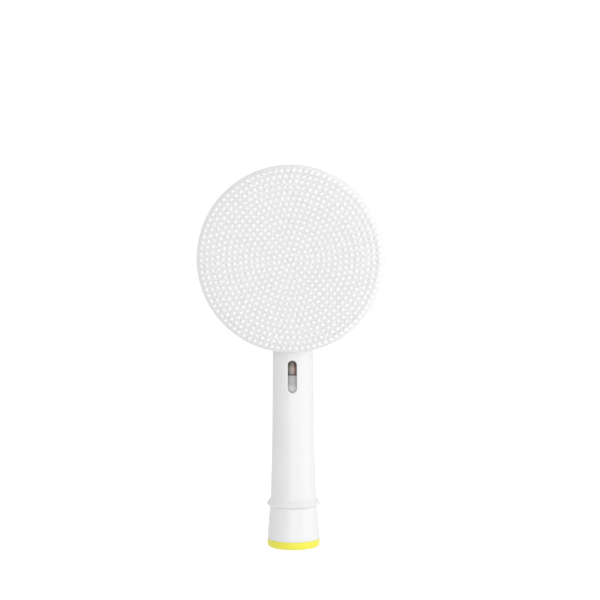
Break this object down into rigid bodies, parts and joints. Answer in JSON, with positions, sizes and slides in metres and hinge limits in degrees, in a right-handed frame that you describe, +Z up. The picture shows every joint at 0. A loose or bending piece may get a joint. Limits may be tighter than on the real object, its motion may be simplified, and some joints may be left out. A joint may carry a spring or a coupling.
{
  "type": "facial cleansing brush head",
  "caption": "Round oscillating silicone nub pad on a slim neck with a socket that pushes onto a powered handle.",
  "frame": {"origin": "centre of the socket's mouth, on the neck's axis, level with the underside of the colour ring", "axes": "+Z up the neck towards the head, -Y out of the pad's face, +X to the right seen from the front"},
  "size_m": [0.0508, 0.0245, 0.1065],
  "materials": {
    "white_plastic": "satin moulded ABS",
    "yellow_plastic": "satin moulded plastic",
    "inner_plastic": "moulded plastic",
    "grey_plastic": "moulded acetal",
    "bearing_plastic": "moulded acetal, natural",
    "steel": "turned stainless steel",
    "white_silicone": "matt moulded silicone"
  },
  "bodies": {
    "neck": {"neck_shell": "white_plastic", "color_ring": "yellow_plastic", "socket_insert": "inner_plastic", "lower_guide_bush": "bearing_plastic", "upper_guide_bush": "bearing_plastic", "axle_pin": "steel", "axle_clip": "steel", "thrust_washer": "steel"},
    "drive_link": {"drive_coupling": "grey_plastic", "shaft_clip": "steel", "drive_rod": "steel", "crank_arm": "grey_plastic", "crank_pin": "steel"},
    "cleansing_head": {"rotor_hub": "inner_plastic", "hub_bush": "bearing_plastic", "back_shell": "white_plastic", "carrier_plate": "inner_plastic", "carrier_screw_1": "steel", "carrier_screw_2": "steel", "carrier_screw_3": "steel", "silicone_pad": "white_silicone"}
  },
  "joints": [
    {"name": "head_oscillation", "type": "hinge", "parent": "neck", "child": "cleansing_head", "pos_m": [0, 0, 0.08112], "axis": [0, -1, 0], "range_deg": [-22, 22]},
    {"name": "drive_rotation", "type": "hinge", "parent": "neck", "child": "drive_link", "pos_m": [0, 0, 0.04832], "axis": [0, 0, 1], "range_deg": [-36, 36]}
  ],
  "couplings": [
    {"joint": "drive_rotation", "follows": "head_oscillation", "ratio": 1.614}
  ]
}
